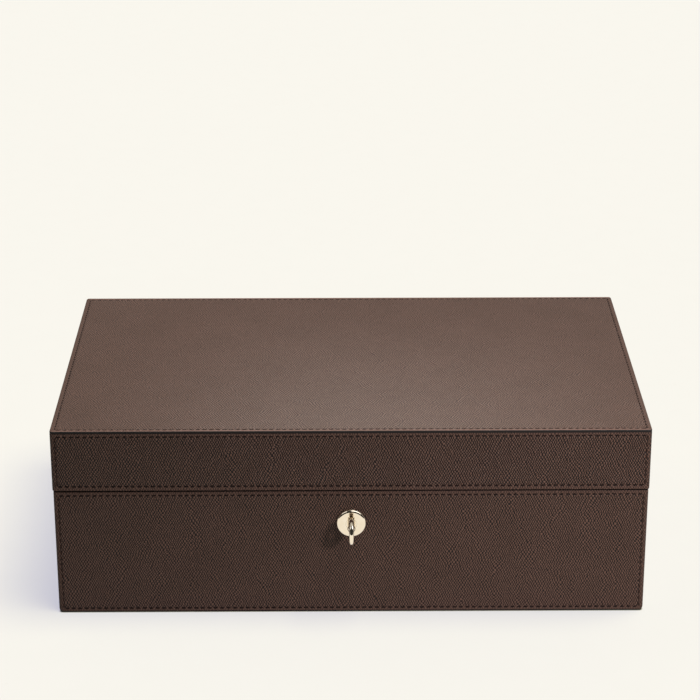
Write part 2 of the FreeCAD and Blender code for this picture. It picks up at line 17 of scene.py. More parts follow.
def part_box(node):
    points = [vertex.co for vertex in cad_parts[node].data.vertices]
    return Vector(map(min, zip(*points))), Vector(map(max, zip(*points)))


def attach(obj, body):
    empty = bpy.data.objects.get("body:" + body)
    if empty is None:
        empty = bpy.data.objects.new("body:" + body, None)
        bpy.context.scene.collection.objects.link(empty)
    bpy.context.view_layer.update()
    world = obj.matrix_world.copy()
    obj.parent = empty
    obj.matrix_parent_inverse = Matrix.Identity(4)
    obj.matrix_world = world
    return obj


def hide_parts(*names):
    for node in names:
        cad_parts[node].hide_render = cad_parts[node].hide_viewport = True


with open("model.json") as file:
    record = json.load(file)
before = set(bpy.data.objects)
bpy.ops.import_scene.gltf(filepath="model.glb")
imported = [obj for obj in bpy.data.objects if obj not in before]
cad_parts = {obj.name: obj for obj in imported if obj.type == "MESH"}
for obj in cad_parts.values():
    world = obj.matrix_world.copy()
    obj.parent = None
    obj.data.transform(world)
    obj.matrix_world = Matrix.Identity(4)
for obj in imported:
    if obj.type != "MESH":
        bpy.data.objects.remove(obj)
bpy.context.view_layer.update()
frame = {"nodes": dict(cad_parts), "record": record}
NODES = frame["nodes"]
MM = 0.001

# sizes that repeat the part's own
LID_W, LID_D, CASE_H = 300.0, 190.0, 101.0
BASE_W, BASE_D = 299.3, 189.3
BASE_TOP, LID_BOT = 67.9, 68.5
LEATHER = 1.2
SKIRT_Z = 0.15
LOCK_X, LOCK_Z = 0.13, 50.4
FRONT = -BASE_D / 2
FACE_Y = FRONT - 1.9
HINGE_X = 88.0


# ============================================================================= node helpers
class Tree:
    """Short calls for building a material's nodes."""

    def __init__(self, name):
        self.mat = bpy.data.materials.new(name)
        self.mat.use_nodes = True
        self.nt = self.mat.node_tree
        self.nt.nodes.clear()
        self.out = self.add("ShaderNodeOutputMaterial")
        self.bsdf = self.add("ShaderNodeBsdfPrincipled")
        self.link(self.bsdf.outputs[0], self.out.inputs[0])

    def add(self, kind, **props):
        n = self.nt.nodes.new(kind)
        for k, v in props.items():
            setattr(n, k, v)
        return n

    def link(self, a, b):
        self.nt.links.new(a, b)

    def put(self, socket, value):
        if isinstance(value, bpy.types.NodeSocket):
            self.link(value, socket)
        else:
            socket.default_value = value

    def math(self, op, a, b=None, c=None, clamp=False):
        n = self.add("ShaderNodeMath", operation=op, use_clamp=clamp)
        for s, v in zip(n.inputs, (a, b, c)):
            if v is not None:
                self.put(s, v)
        return n.outputs[0]

    def vec(self, op, a, b=None, scale=None):
        n = self.add("ShaderNodeVectorMath", operation=op)
        self.put(n.inputs[0], a)
        if b is not None:
            self.put(n.inputs[1], b)
        if scale is not None:
            self.put(n.inputs["Scale"], scale)
        return n.outputs["Value"] if op in ("DOT_PRODUCT", "LENGTH") else n.outputs[0]

    def remap(self, v, a, b, c=0.0, d=1.0, smooth=True):
        n = self.add("ShaderNodeMapRange", interpolation_type="SMOOTHSTEP" if smooth else "LINEAR")
        self.put(n.inputs[0], v)
        for s, x in zip((1, 2, 3, 4), (a, b, c, d)):
            self.put(n.inputs[s], x)
        return n.outputs[0]

    def noise(self, co, scale, detail=2.0, rough=0.5, dims="3D", out=0):
        n = self.add("ShaderNodeTexNoise", noise_dimensions=dims)
        self.put(n.inputs["Vector"], co)
        n.inputs["Scale"].default_value = scale
        n.inputs["Detail"].default_value = detail
        n.inputs["Roughness"].default_value = rough
        return n.outputs[out]

    def mix(self, f, a, b, kind="RGBA", blend="MIX"):
        n = self.add("ShaderNodeMix", data_type=kind)
        if kind == "RGBA":
            n.blend_type = blend
            ia, ib, o = n.inputs[6], n.inputs[7], n.outputs[2]
        else:
            ia, ib, o = n.inputs[2], n.inputs[3], n.outputs[0]
        self.put(n.inputs[0], f)
        self.put(ia, a)
        self.put(ib, b)
        return o

    def attr(self, name, out="Vector"):
        n = self.add("ShaderNodeAttribute", attribute_name=name)
        return n.outputs[out]

    def bump(self, height, distance, strength=1.0, normal=None):
        n = self.add("ShaderNodeBump")
        n.inputs["Strength"].default_value = strength
        n.inputs["Distance"].default_value = distance
        self.put(n.inputs["Height"], height)
        if normal is not None:
            self.put(n.inputs["Normal"], normal)
        return n.outputs[0]

    def set(self, **kw):
        for k, v in kw.items():
            self.put(self.bsdf.inputs[k.replace("_", " ")], v)


def lin(r, g, b):
    """An 8-bit display colour as linear light, with alpha."""
    f = lambda c: c / 12.92 if c <= 0.04045 else ((c + 0.055) / 1.055) ** 2.4
    return (f(r / 255), f(g / 255), f(b / 255), 1.0)


# ============================================================================= materials
GRAIN_DEPTH = 0.17  # mm, from the valleys of the grain to its tops


def make_cover_leather():
    """Embossed leather: pebbles on a loose six-sided lattice, flattened beside the seams, with painted cut edges."""
    t = Tree("cover_leather")
    co = t.attr("grain")  # x, y along the panel and z the distance to its edge, all in mm
    sep = t.add("ShaderNodeSeparateXYZ")
    t.link(co, sep.inputs[0])
    edge = sep.outputs[2]
    flat = t.add("ShaderNodeCombineXYZ")
    t.link(sep.outputs[0], flat.inputs[0])
    t.link(sep.outputs[1], flat.inputs[1])
    p = flat.outputs[0]
    wander = t.vec("SUBTRACT", t.noise(p, 0.10, 2.0, out=1), (0.5, 0.5, 0.5))
    jitter = t.vec("SUBTRACT", t.noise(p, 0.42, 1.0, out=1), (0.5, 0.5, 0.5))
    q = t.vec("ADD", p, t.vec("SCALE", wander, scale=3.6))
    q = t.vec("ADD", q, t.vec("SCALE", jitter, scale=0.95))
    k = 2 * math.pi / 1.34  # distance between pebbles in a row
    waves = [(k, -k * 0.58, 0), (0, 2 * k * 0.58, 0), (k, k * 0.58, 0)]
    cs = [t.math("COSINE", t.vec("DOT_PRODUCT", q, w)) for w in waves]
    h = t.math("ADD", t.math("ADD", cs[0], t.math("MULTIPLY", cs[1], 0.18)), cs[2])
    pebble = t.remap(h, -1.7, 1.8)
    size = t.remap(t.noise(p, 0.45, 2.0), 0.3, 0.7, 0.82, 1.0)
    pebble = t.math("MULTIPLY", pebble, size)
    pores = t.noise(p, 4.5, 3.0, 0.6)
    relief = t.attr("relief", "Fac")  # how strong the grain's bump and its painted valley shade are on this panel
    seam = t.remap(edge, 1.2, 3.0, 0.40, 1.0)
    skin = t.math("ADD", pebble, t.math("MULTIPLY", pores, 0.14))
    height = t.math("MULTIPLY", skin, seam)
    normal = t.bump(t.math("MULTIPLY", height, relief), GRAIN_DEPTH * MM)
    tone = t.remap(t.noise(p, 0.035, 3.0), 0.25, 0.75, 0.0, 1.0)
    top = t.mix(tone, (0.0790, 0.0414, 0.0295, 1), (0.0877, 0.0465, 0.0339, 1))
    # the hollows of the grain: partly the leather's own darker colour, partly painted shade
    shaded_valley = t.mix(tone, (0.0054, 0.0030, 0.0025, 1), (0.0070, 0.0038, 0.0032, 1))
    depth = t.math("MULTIPLY", t.math("MULTIPLY", t.math("SUBTRACT", skin, 0.54), relief), seam)
    colour = t.mix(t.remap(depth, -0.34, 0.32), shaded_valley, top)
    # painted highlight: the strip between the stitch row and the edge is made lighter, mostly along the level seams,
    # for the light its rounded edge catches
    rub = t.math("MULTIPLY", t.remap(edge, 1.5, 2.2, 1.0, 0.0), t.attr("rub", "Fac"))
    colour = t.mix(rub, colour, (0.0860, 0.0455, 0.0350, 1))
    stitch_shading = t.attr("stitch_shading", "Fac")  # below nought under a stitch, where the leather is darkened: partly pressed and dyed by the thread, partly painted shade in the sunk hole; above nought on the bridge between two, a painted highlight
    colour = t.mix(t.math("MULTIPLY", stitch_shading, 0.75, clamp=True), colour, (0.0860, 0.0450, 0.0330, 1))
    colour = t.mix(t.math("MULTIPLY", stitch_shading, -0.95, clamp=True), colour, (0.0050, 0.0026, 0.0022, 1))
    # edge paint, and on the base's lower edge painted contact shade as well
    colour = t.mix(t.attr("paint", "Fac"), colour, (0.0060, 0.0040, 0.0036, 1))
    rough = t.remap(height, 0.0, 0.9, 0.66, 0.48)
    rough = t.math("ADD", rough, t.math("MULTIPLY", t.math("SUBTRACT", t.noise(p, 0.2, 3.0), 0.5), 0.10))
    t.set(Base_Color=colour, Roughness=rough, Normal=normal)
    t.bsdf.inputs["Specular IOR Level"].default_value = 0.17
    return t.mat


def make_rim_leather():
    """Smooth thin leather on the rims and tabs."""
    t = Tree("rim_leather")
    co = t.vec("SCALE", t.add("ShaderNodeTexCoord").outputs["Object"], scale=1000.0)
    fine = t.noise(co, 1.6, 3.0, 0.6)
    vor = t.add("ShaderNodeTexVoronoi", feature="DISTANCE_TO_EDGE")
    t.link(co, vor.inputs["Vector"])
    vor.inputs["Scale"].default_value = 1.1
    crease = t.remap(vor.outputs[0], 0.0, 0.16)
    height = t.math("ADD", t.math("MULTIPLY", crease, 0.8), t.math("MULTIPLY", fine, 0.4))
    tone = t.noise(co, 0.08, 3.0)
    colour = t.mix(t.remap(tone, 0.3, 0.7), (0.040, 0.0215, 0.0165, 1), (0.054, 0.0305, 0.0240, 1))
    # painted shade: darker in the creases
    colour = t.mix(t.remap(crease, 0.0, 0.7, 0.65, 0.0), colour, (0.014, 0.0080, 0.0064, 1))
    t.set(Base_Color=colour, Roughness=t.remap(fine, 0.3, 0.7, 0.46, 0.60), Normal=t.bump(height, 0.09 * MM))
    t.bsdf.inputs["Specular IOR Level"].default_value = 0.30
    return t.mat


def make_thread():
    """Waxed twisted thread."""
    t = Tree("thread")
    co = t.attr("thread")  # x along the stitch, y around it, z a number per stitch, over one in an upright seam
    sep = t.add("ShaderNodeSeparateXYZ")
    t.link(co, sep.inputs[0])
    turn = t.math("ADD", t.math("MULTIPLY", sep.outputs[0], 9.0), t.math("MULTIPLY", sep.outputs[1], 2.0))
    ply = t.math("ABSOLUTE", t.math("SINE", turn))
    fuzz = t.noise(t.vec("SCALE", t.add("ShaderNodeTexCoord").outputs["Object"], scale=1000.0), 5.0, 2.0)
    height = t.math("ADD", ply, t.math("MULTIPLY", fuzz, 0.3))
    # painted shade: darker in the grooves between the twisted plies
    colour = t.mix(t.remap(ply, 0.1, 0.8), (0.0045, 0.0020, 0.0017, 1), (0.0130, 0.0062, 0.0050, 1))
    colour = t.mix(t.math("MULTIPLY", t.math("FRACT", sep.outputs[2]), 0.35), colour, (0.0090, 0.0042, 0.0035, 1))
    # painted light: thread on the upright seams is made lighter, for the light that falls on it from the front and the
    # right
    colour = t.mix(t.math("MULTIPLY", t.math("GREATER_THAN", sep.outputs[2], 1.0), 0.55), colour, (0.0300, 0.0158, 0.0122, 1))
    t.set(Base_Color=colour, Roughness=t.remap(fuzz, 0.3, 0.7, 0.72, 0.88), Normal=t.bump(height, 0.06 * MM))
    t.bsdf.inputs["Specular IOR Level"].default_value = 0.08
    return t.mat


def make_suede(name, dark, light, pile=0.10):
    """Napped suede: short pile, brushed patches lighter and darker."""
    t = Tree(name)
    co = t.vec("SCALE", t.add("ShaderNodeTexCoord").outputs["Object"], scale=1000.0)
    nap = t.noise(co, 5.5, 4.0, 0.65)
    fibre = t.noise(t.vec("MULTIPLY", co, (1.0, 2.4, 1.0)), 2.2, 3.0, 0.6)
    brushed = t.remap(t.noise(co, 0.03, 2.0, 0.5), 0.25, 0.75)
    stroke = t.remap(t.noise(t.vec("MULTIPLY", co, (0.7, 2.2, 1.5)), 0.30, 4.0, 0.65), 0.25, 0.75)
    height = t.math("ADD", t.math("MULTIPLY", nap, 0.7), t.math("MULTIPLY", fibre, 0.5))
    laid = t.math("ADD", t.math("MULTIPLY", brushed, 0.5), t.math("MULTIPLY", stroke, 0.5))
    colour = t.mix(laid, dark, light)
    shade = t.remap(height, 0.35, 0.85, 0.70, 1.12)
    hsv = t.add("ShaderNodeHueSaturation")
    t.link(colour, hsv.inputs["Color"])
    t.link(shade, hsv.inputs["Value"])
    t.set(Base_Color=hsv.outputs[0], Roughness=t.remap(nap, 0.2, 0.8, 0.85, 1.0), Normal=t.bump(height, pile * MM))
    t.bsdf.inputs["Specular IOR Level"].default_value = 0.12
    t.bsdf.inputs["Sheen Weight"].default_value = 0.22
    t.bsdf.inputs["Sheen Roughness"].default_value = 0.40
    t.bsdf.inputs["Sheen Tint"].default_value = (0.90, 0.76, 0.62, 1)
    return t.mat


def make_gilt(name="gilt_brass", tint=(0.950, 0.845, 0.700), rough=0.045):
    """Polished pale gold plating with faint polishing lines."""
    t = Tree(name)
    co = t.vec("SCALE", t.add("ShaderNodeTexCoord").outputs["Object"], scale=1000.0)
    lines = t.noise(t.vec("MULTIPLY", co, (6.0, 6.0, 0.5)), 1.2, 3.0, 0.6)
    cloud = t.noise(co, 0.35, 2.0)
    a = (tint[0], tint[1], tint[2], 1)
    b = (tint[0] * 0.965, tint[1] * 0.95, tint[2] * 0.92, 1)
    t.set(Base_Color=t.mix(t.remap(cloud, 0.3, 0.7), a, b), Roughness=t.remap(lines, 0.3, 0.75, rough, rough + 0.05), Normal=t.bump(lines, 0.0012 * MM))
    t.bsdf.inputs["Metallic"].default_value = 1.0
    return t.mat


def make_steel():
    t = Tree("lock_steel")
    co = t.vec("SCALE", t.add("ShaderNodeTexCoord").outputs["Object"], scale=1000.0)
    lines = t.noise(t.vec("MULTIPLY", co, (0.3, 6.0, 6.0)), 1.0, 3.0, 0.6)
    t.set(Base_Color=t.mix(t.remap(lines, 0.3, 0.7), (0.52, 0.52, 0.53, 1), (0.62, 0.62, 0.63, 1)), Roughness=t.remap(lines, 0.3, 0.7, 0.3, 0.45), Normal=t.bump(lines, 0.004 * MM))
    t.bsdf.inputs["Metallic"].default_value = 1.0
    return t.mat


def make_felt():
    t = Tree("underside_felt")
    co = t.vec("SCALE", t.add("ShaderNodeTexCoord").outputs["Object"], scale=1000.0)
    fibre = t.noise(co, 1.7, 5.0, 0.7)
    mat = t.noise(co, 0.12, 3.0)
    colour = t.mix(t.remap(fibre, 0.3, 0.7), (0.011, 0.0085, 0.0075, 1), (0.030, 0.024, 0.021, 1))
    colour = t.mix(t.remap(mat, 0.3, 0.7, 0.0, 0.3), colour, (0.038, 0.030, 0.026, 1))
    t.set(Base_Color=colour, Roughness=t.remap(fibre, 0.3, 0.7, 0.9, 1.0), Normal=t.bump(fibre, 0.2 * MM))
    t.bsdf.inputs["Specular IOR Level"].default_value = 0.1
    t.bsdf.inputs["Sheen Weight"].default_value = 0.3
    return t.mat


def make_board():
    """Fibreboard of the carcass."""
    t = Tree("carcass_board")
    co = t.vec("SCALE", t.add("ShaderNodeTexCoord").outputs["Object"], scale=1000.0)
    chips = t.noise(co, 0.9, 5.0, 0.7)
    band = t.noise(co, 0.05, 2.0)
    colour = t.mix(t.remap(chips, 0.3, 0.7), (0.23, 0.145, 0.075, 1), (0.36, 0.25, 0.14, 1))
    colour = t.mix(t.remap(band, 0.3, 0.7, 0.0, 0.3), colour, (0.30, 0.19, 0.10, 1))
    t.set(Base_Color=colour, Roughness=t.remap(chips, 0.3, 0.7, 0.7, 0.9), Normal=t.bump(chips, 0.08 * MM))
    return t.mat


COVER = make_cover_leather()
RIMLEATHER = make_rim_leather()
THREAD = make_thread()
SUEDE = make_suede("suede_lining", (0.200, 0.132, 0.087, 1), (0.270, 0.186, 0.127, 1))
PADSUEDE = make_suede("suede_padding", (0.215, 0.144, 0.096, 1), (0.290, 0.202, 0.140, 1), 0.12)
GILT = make_gilt()
SATIN = make_gilt("gilt_brass_satin", (0.900, 0.780, 0.600), 0.20)
SCREWS = make_gilt("gilt_brass_screws", (0.780, 0.650, 0.470), 0.16)
STEEL = make_steel()
FELT = make_felt()
BOARD = make_board()


# ============================================================================= mesh helpers
def new_object(name, mesh, mat, body, replaces=()):
    o = bpy.data.objects.new(name, mesh)
    bpy.context.scene.collection.objects.link(o)
    mesh.materials.clear()
    mesh.materials.append(mat)
    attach(o, body)
    if replaces:
        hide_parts(*replaces)
    return o


def smooth_mesh(me, deg=35):
    me.polygons.foreach_set("use_smooth", np.ones(len(me.polygons), bool))
    me.set_sharp_from_angle(angle=math.radians(deg))


def mesh_from(name, verts_mm, faces, deg=35):
    me = bpy.data.meshes.new(name)
    me.from_pydata((np.asarray(verts_mm, float) * MM).tolist(), [], faces)
    me.update()
    smooth_mesh(me, deg)
    return me


def put_value(me, name, value):
    at = me.attributes.new(name, "FLOAT", "POINT")
    at.data.foreach_set("value", (np.zeros(len(me.vertices)) + value).astype(np.float32))


def put_attr(me, name, values):
    at = me.attributes.new(name, "FLOAT_VECTOR", "POINT")
    at.data.foreach_set("vector", np.asarray(values, np.float32).ravel())


def shade_flat_faces(me):
    """Flat faces shaded flat and the roundings between them smooth: each point takes after its largest face."""
    o = bpy.data.objects.new(me.name + "_cage", me)
    bpy.context.scene.collection.objects.link(o)
    mod = o.modifiers.new("flat", "WEIGHTED_NORMAL")
    mod.mode, mod.weight, mod.keep_sharp = "FACE_AREA", 80, True
    out = bpy.data.meshes.new_from_object(o.evaluated_get(bpy.context.evaluated_depsgraph_get()))
    bpy.data.objects.remove(o)
    out.name = me.name
    bpy.data.meshes.remove(me)
    return out


def soften(node, width, mat, body, segments=2, name=None, deg=30):
    """A copy of a CAD node with its hard edges rounded off."""
    bm = bmesh.new()
    bm.from_mesh(NODES[node].data)
    bmesh.ops.remove_doubles(bm, verts=bm.verts, dist=1e-6)
    bmesh.ops.dissolve_limit(bm, angle_limit=math.radians(1.0), verts=bm.verts, edges=bm.edges)
    sharp = [e for e in bm.edges if len(e.link_faces) == 2 and e.calc_face_angle(0) > math.radians(deg)]
    if width:
        bmesh.ops.bevel(bm, geom=sharp, offset=width * MM, offset_type="OFFSET", segments=segments, profile=0.5, affect="EDGES", clamp_overlap=True)
        bmesh.ops.dissolve_degenerate(bm, dist=1e-6, edges=bm.edges)  # slivers where roundings meet
    me = bpy.data.meshes.new(name or node + "_soft")
    bm.to_mesh(me)
    bm.free()
    smooth_mesh(me, 40)
    return new_object(name or node + "_soft", shade_flat_faces(me), mat, body, [node])


# ============================================================================= leather panels
PHASES = np.array([0.0, 0.13, 0.22, 0.5, 0.78, 0.87])  # places along one stitch that carry mesh points
FINE = len(PHASES)
ROW = 2.5  # distance at which the profile below has its stitch row
LOOPS = [0.0, 0.07, 0.2, 0.4, 0.65, 0.95, 1.35, 1.8, 2.1, 2.3, 2.5, 2.7, 2.9, 3.2, 3.7, 4.6, 6.0]
INNER = 7.6
STITCH = 3.3
CORNER_R = 1.5


def quarter(d, r):
    """How far a rounded edge of radius r has dropped at distance d from it."""
    x = np.clip(r - d, 0, r)
    return r - np.sqrt(np.maximum(r * r - x * x, 0))


class Panel:
    """A leather panel: rounded edges, a sunk seam with awl holes, and a flat field inside it."""

    def __init__(self, name, lo, hi, place, kinds, rows, radius, relief_and_highlights, paint, notches=(), outline_r=0.0):
        # grain relief, the painted highlight on the edge strips and its share on upright seams, and the painted
        # highlight on the bridges between stitches
        self.relief, self.rub, self.rub_ends, self.bridge = relief_and_highlights
        self.paint, self.cut_paint = paint  # width of the edge paint on each side, on the base's lower edge partly painted contact shade, and its strength on the cut edge
        self.name, self.place, self.kinds, self.rows, self.radius = name, place, kinds, rows, radius
        self.u0, self.v0 = lo
        self.u1, self.v1 = hi
        self.notches, self.outline_r = notches, outline_r
        ru = (self.u1 - self.u0) - rows["left"] - rows["right"]
        rv = (self.v1 - self.v0) - rows["bottom"] - rows["top"]
        self.nu, self.nv = max(2, round(ru / STITCH)), max(2, round(rv / STITCH))

    def inset(self, side, s):
        """Distance from a side, for a place s on the profile."""
        row = self.rows[side]
        d = np.where(s <= ROW, s * row / ROW, s - ROW + row)
        if self.kinds[side] == "mitre":
            start = CORNER_R * (1 - math.sin(math.radians(45))) + 0.02
            d = np.where(d < CORNER_R, start + d * (CORNER_R - start) / CORNER_R, d)
        return d

    def profile_of(self, side, d):
        row = self.rows[side]
        return np.where(d <= row, d * ROW / row, d - row + ROW)

    def rect(self, s):
        i = {k: float(self.inset(k, np.array(s))) for k in self.rows}
        return self.u0 + i["left"], self.v0 + i["bottom"], self.u1 - i["right"], self.v1 - i["top"]

    def ring(self, s, per):
        """Points round the loop at s, anticlockwise from the lower left corner."""
        a, b, c, d = self.rect(s)
        along = PHASES if per == FINE else np.arange(per) / per
        tu, tv = [((np.arange(n)[:, None] + along[None]) / n).ravel() for n in (self.nu, self.nv)]
        u = np.concatenate([a + (c - a) * tu, np.full_like(tv, c), c - (c - a) * tu, np.full_like(tv, a)])
        v = np.concatenate([np.full_like(tu, b), b + (d - b) * tv, np.full_like(tu, d), d - (d - b) * tv])
        return u, v

    def row_holes(self):
        u, v = self.ring(ROW, 1)
        return u, v

    def shape(self, u, v):
        """Drop of the surface at a point, and its distance from the nearest edge on the profile."""
        dist = {"left": u - self.u0, "right": self.u1 - u, "bottom": v - self.v0, "top": self.v1 - v}
        sig = np.min([self.profile_of(k, d) for k, d in dist.items()], axis=0)
        drops = []
        for k, d in dist.items():
            r = CORNER_R if self.kinds[k] == "mitre" else self.radius[k]
            drop = quarter(d, r)
            if self.kinds[k] == "mitre":
                drop = drop + 0.10 * np.clip((0.72 - d) / 0.28, 0, 1) ** 2
            drops.append(drop)
        drops = np.array(drops)
        if self.outline_r:
            drop = drops.max(axis=0)
        else:
            drop = np.sqrt((np.sort(drops, axis=0)[-2:] ** 2).sum(axis=0))
        drop = drop + 0.03 * np.clip(1 - sig / 2.3, 0, 1) ** 2
        under, level = self.under(u, v, dist)
        drop = drop + 0.34 * under * np.exp(-(((sig - ROW) / 0.40) ** 2))
        drop = drop + 0.05 * (1 - under) * np.exp(-(((sig - ROW) / 0.55) ** 2))
        # painted highlight on the leather bridges between stitches, and darkening in the sunk holes under them, partly
        # the leather pressed and dyed by the thread and partly painted shade; on upright seams the bridges are made a
        # little darker
        stitch_shading = self.bridge * level * (1 - under) * np.exp(-(((sig - ROW) / 0.60) ** 2)) - (0.25 + 0.75 * level) * under * np.exp(-(((sig - ROW) / 0.50) ** 4))
        stitch_shading = stitch_shading - 0.20 * (1 - level) * (1 - under) * np.exp(-(((sig - ROW) / 0.50) ** 4))
        # strength of the painted highlight on the edge strip, less on upright seams
        rub = self.rub * (self.rub_ends + (1 - self.rub_ends) * level)
        paint = np.max([np.clip((w - dist[k]) / 0.25 + 0.5, 0, 1) for k, w in self.paint.items()], axis=0)
        for k in ("left", "right"):
            if self.kinds[k] == "mitre":  # dye gathers along the upright corners
                paint = np.maximum(paint, 0.28 * np.clip((0.95 - dist[k]) / 0.45 + 0.5, 0, 1))
        return drop, sig, stitch_shading, rub, paint

    def under(self, u, v, dist):
        """One under a stitch, nought on the bridge of leather between two; and one along the level seams."""
        a, b, c, d = self.rect(ROW)
        near_u = np.minimum(self.profile_of("left", dist["left"]), self.profile_of("right", dist["right"]))
        near_v = np.minimum(self.profile_of("bottom", dist["bottom"]), self.profile_of("top", dist["top"]))
        level = near_v <= near_u
        t = np.where(level, (u - a) / (c - a) * self.nu, (v - b) / (d - b) * self.nv)
        return np.clip((0.385 - np.abs(t % 1.0 - 0.5)) / 0.11, 0, 1), level.astype(float)

    def notch(self, u, v, sig):
        """Leather cut back under a hinge leaf."""
        for side, x0, x1, depth in self.notches:
            d = self.v1 - v if side == "top" else v - self.v0
            inside = (u > x0) & (u < x1) & (d < 2.0)
            moved = depth + d * (2.0 - depth) / 2.0
            nv = self.v1 - moved if side == "top" else self.v0 + moved
            v = np.where(inside, nv, v)
        return v

    def build(self, mat, body, node):
        pts, grain, stitch_shadings, rubs, paints, faces = [], [], [], [], [], []
        m = 2 * FINE * (self.nu + self.nv)
        for s in LOOPS:
            u, v = self.ring(s, FINE)
            drop, sig, stitch_shading, rub, paint = self.shape(u, v)
            uu, vv = u.copy(), v.copy()
            if self.outline_r:
                r = self.outline_r
                cu, cv = (self.u0 + self.u1) / 2, (self.v0 + self.v1) / 2
                hu, hv = (self.u1 - self.u0) / 2, (self.v1 - self.v0) / 2
                p, q = np.abs(u - cu) - (hu - r), np.abs(v - cv) - (hv - r)
                corner = (p > 0) & (q > 0)
                k = np.where(corner, np.maximum(p, q) / np.maximum(np.hypot(p, q), 1e-9), 1)
                uu = np.where(corner, cu + np.sign(u - cu) * (hu - r + p * k), u)
                vv = np.where(corner, cv + np.sign(v - cv) * (hv - r + q * k), v)
            vv = self.notch(uu, vv, sig)
            pts.append(self.place(uu, vv, -drop))
            grain.append(np.stack([u, v, sig], -1))
            stitch_shadings.append(stitch_shading)
            rubs.append(rub)
            paints.append(paint)
        n = len(LOOPS)
        for k in range(n - 1):
            for j in range(m):
                jj = (j + 1) % m
                faces.append((k * m + j, k * m + jj, (k + 1) * m + jj, (k + 1) * m + j))
        # field
        a, b, c, d = self.rect(INNER)
        gu = a + (c - a) * np.arange(self.nu + 1) / self.nu
        gv = b + (d - b) * np.arange(self.nv + 1) / self.nv
        U, V = np.meshgrid(gu, gv, indexing="ij")
        base = n * m
        pts.append(self.place(U.ravel(), V.ravel(), np.zeros(U.size)))
        grain.append(np.stack([U.ravel(), V.ravel(), np.full(U.size, 9.0)], -1))
        gi = lambda i, j: base + i * (self.nv + 1) + j
        for i in range(self.nu):
            for j in range(self.nv):
                faces.append((gi(i, j), gi(i + 1, j), gi(i + 1, j + 1), gi(i, j + 1)))
        last = (n - 1) * m
        for side in range(4):
            count = self.nu if side % 2 == 0 else self.nv
            start = FINE * (0, self.nu, self.nu + self.nv, 2 * self.nu + self.nv)[side]
            for i in range(count):
                fine = [last + (start + FINE * i + f) % m for f in range(FINE + 1)]
                near, far = {
                    0: (gi(i, 0), gi(i + 1, 0)),
                    1: (gi(self.nu, i), gi(self.nu, i + 1)),
                    2: (gi(self.nu - i, self.nv), gi(self.nu - i - 1, self.nv)),
                    3: (gi(0, self.nv - i), gi(0, self.nv - i - 1)),
                }[side]
                faces.append(tuple(fine + [far, near]))
        # flesh side
        back = base + U.size
        ins = {k: (LEATHER + 0.02 if self.kinds[k] == "mitre" else 0.0) for k in self.kinds}
        a, b, c, d = self.u0 + ins["left"], self.v0 + ins["bottom"], self.u1 - ins["right"], self.v1 - ins["top"]
        tu, tv = [((np.arange(k)[:, None] + PHASES[None]) / k).ravel() for k in (self.nu, self.nv)]
        u = np.concatenate([a + (c - a) * tu, np.full_like(tv, c), c - (c - a) * tu, np.full_like(tv, a)])
        v = np.concatenate([np.full_like(tu, b), b + (d - b) * tv, np.full_like(tu, d), d - (d - b) * tv])
        uu, vv = u, v
        if self.outline_r:
            r = self.outline_r
            cu, cv = (self.u0 + self.u1) / 2, (self.v0 + self.v1) / 2
            hu, hv = (self.u1 - self.u0) / 2, (self.v1 - self.v0) / 2
            p, q = np.abs(u - cu) - (hu - r), np.abs(v - cv) - (hv - r)
            corner = (p > 0) & (q > 0)
            k = np.where(corner, np.maximum(p, q) / np.maximum(np.hypot(p, q), 1e-9), 1)
            uu = np.where(corner, cu + np.sign(u - cu) * (hu - r + p * k), u)
            vv = np.where(corner, cv + np.sign(v - cv) * (hv - r + q * k), v)
        vv = self.notch(uu, vv, None)
        pts.append(self.place(uu, vv, np.full(m, -LEATHER)))
        grain.append(np.stack([u, v, np.zeros(m)], -1))
        for j in range(m):
            jj = (j + 1) % m
            faces.append((back + j, back + jj, jj, j))
        faces.append(tuple(back + j for j in range(m - 1, -1, -1)))
        me = mesh_from(self.name, np.concatenate(pts), faces, 50)
        put_attr(me, "grain", np.concatenate(grain))
        put_value(me, "relief", np.interp(np.concatenate(grain)[:, 1], [self.v0, self.v1], self.relief))
        for key, part in (("stitch_shading", stitch_shadings), ("rub", rubs), ("paint", paints)):
            part = np.concatenate(part)
            rest = np.zeros(len(me.vertices) - len(part))
            if key == "paint":
                rest[-m:] = self.cut_paint
            put_value(me, key, np.concatenate([part, rest]))
        return new_object(self.name, me, mat, body, [node])


def bore(o, place, centre, radius, clear):
    """A round hole through a panel's field and flesh side, its wall closed."""
    cu, cv = centre
    me = o.data
    bm = bmesh.new()
    bm.from_mesh(me)
    grain = bm.verts.layers.float_vector["grain"]
    relief = bm.verts.layers.float["relief"]
    away = lambda v: math.hypot(v[grain][0] - cu, v[grain][1] - cv)
    field = [f for f in bm.faces if len(f.verts) == 4 and all(v[grain][2] > 8.5 and away(v) < clear for v in f.verts)]
    flesh = max(bm.faces, key=lambda f: len(f.verts))
    depth = sum(v[relief] for f in field for v in f.verts) / sum(len(f.verts) for f in field)
    count = 48
    circles = []
    for n in (0.0, -LEATHER):
        a = np.arange(count) * 2 * math.pi / count
        pts = place(cu + radius * np.cos(a), cv + radius * np.sin(a), np.full(count, n)) * MM
        vs = [bm.verts.new(p) for p in pts]
        for v, x in zip(vs, a):
            v[grain] = (cu + radius * math.cos(x), cv + radius * math.sin(x), 9.0)
            v[relief] = depth
        circles.append([bm.edges.new((vs[i], vs[(i + 1) % count])) for i in range(count)])
    rim = [e for f in field for e in f.edges if sum(g in field for g in e.link_faces) == 1]
    back = list(flesh.edges)
    bmesh.ops.delete(bm, geom=field, context="FACES")
    bm.faces.remove(flesh)
    bmesh.ops.triangle_fill(bm, use_beauty=True, edges=rim + circles[0])
    bmesh.ops.triangle_fill(bm, use_beauty=True, edges=back + circles[1])
    bmesh.ops.bridge_loops(bm, edges=circles[0] + circles[1])
    bmesh.ops.recalc_face_normals(bm, faces=bm.faces)
    bm.to_mesh(me)
    bm.free()
    smooth_mesh(me, 50)


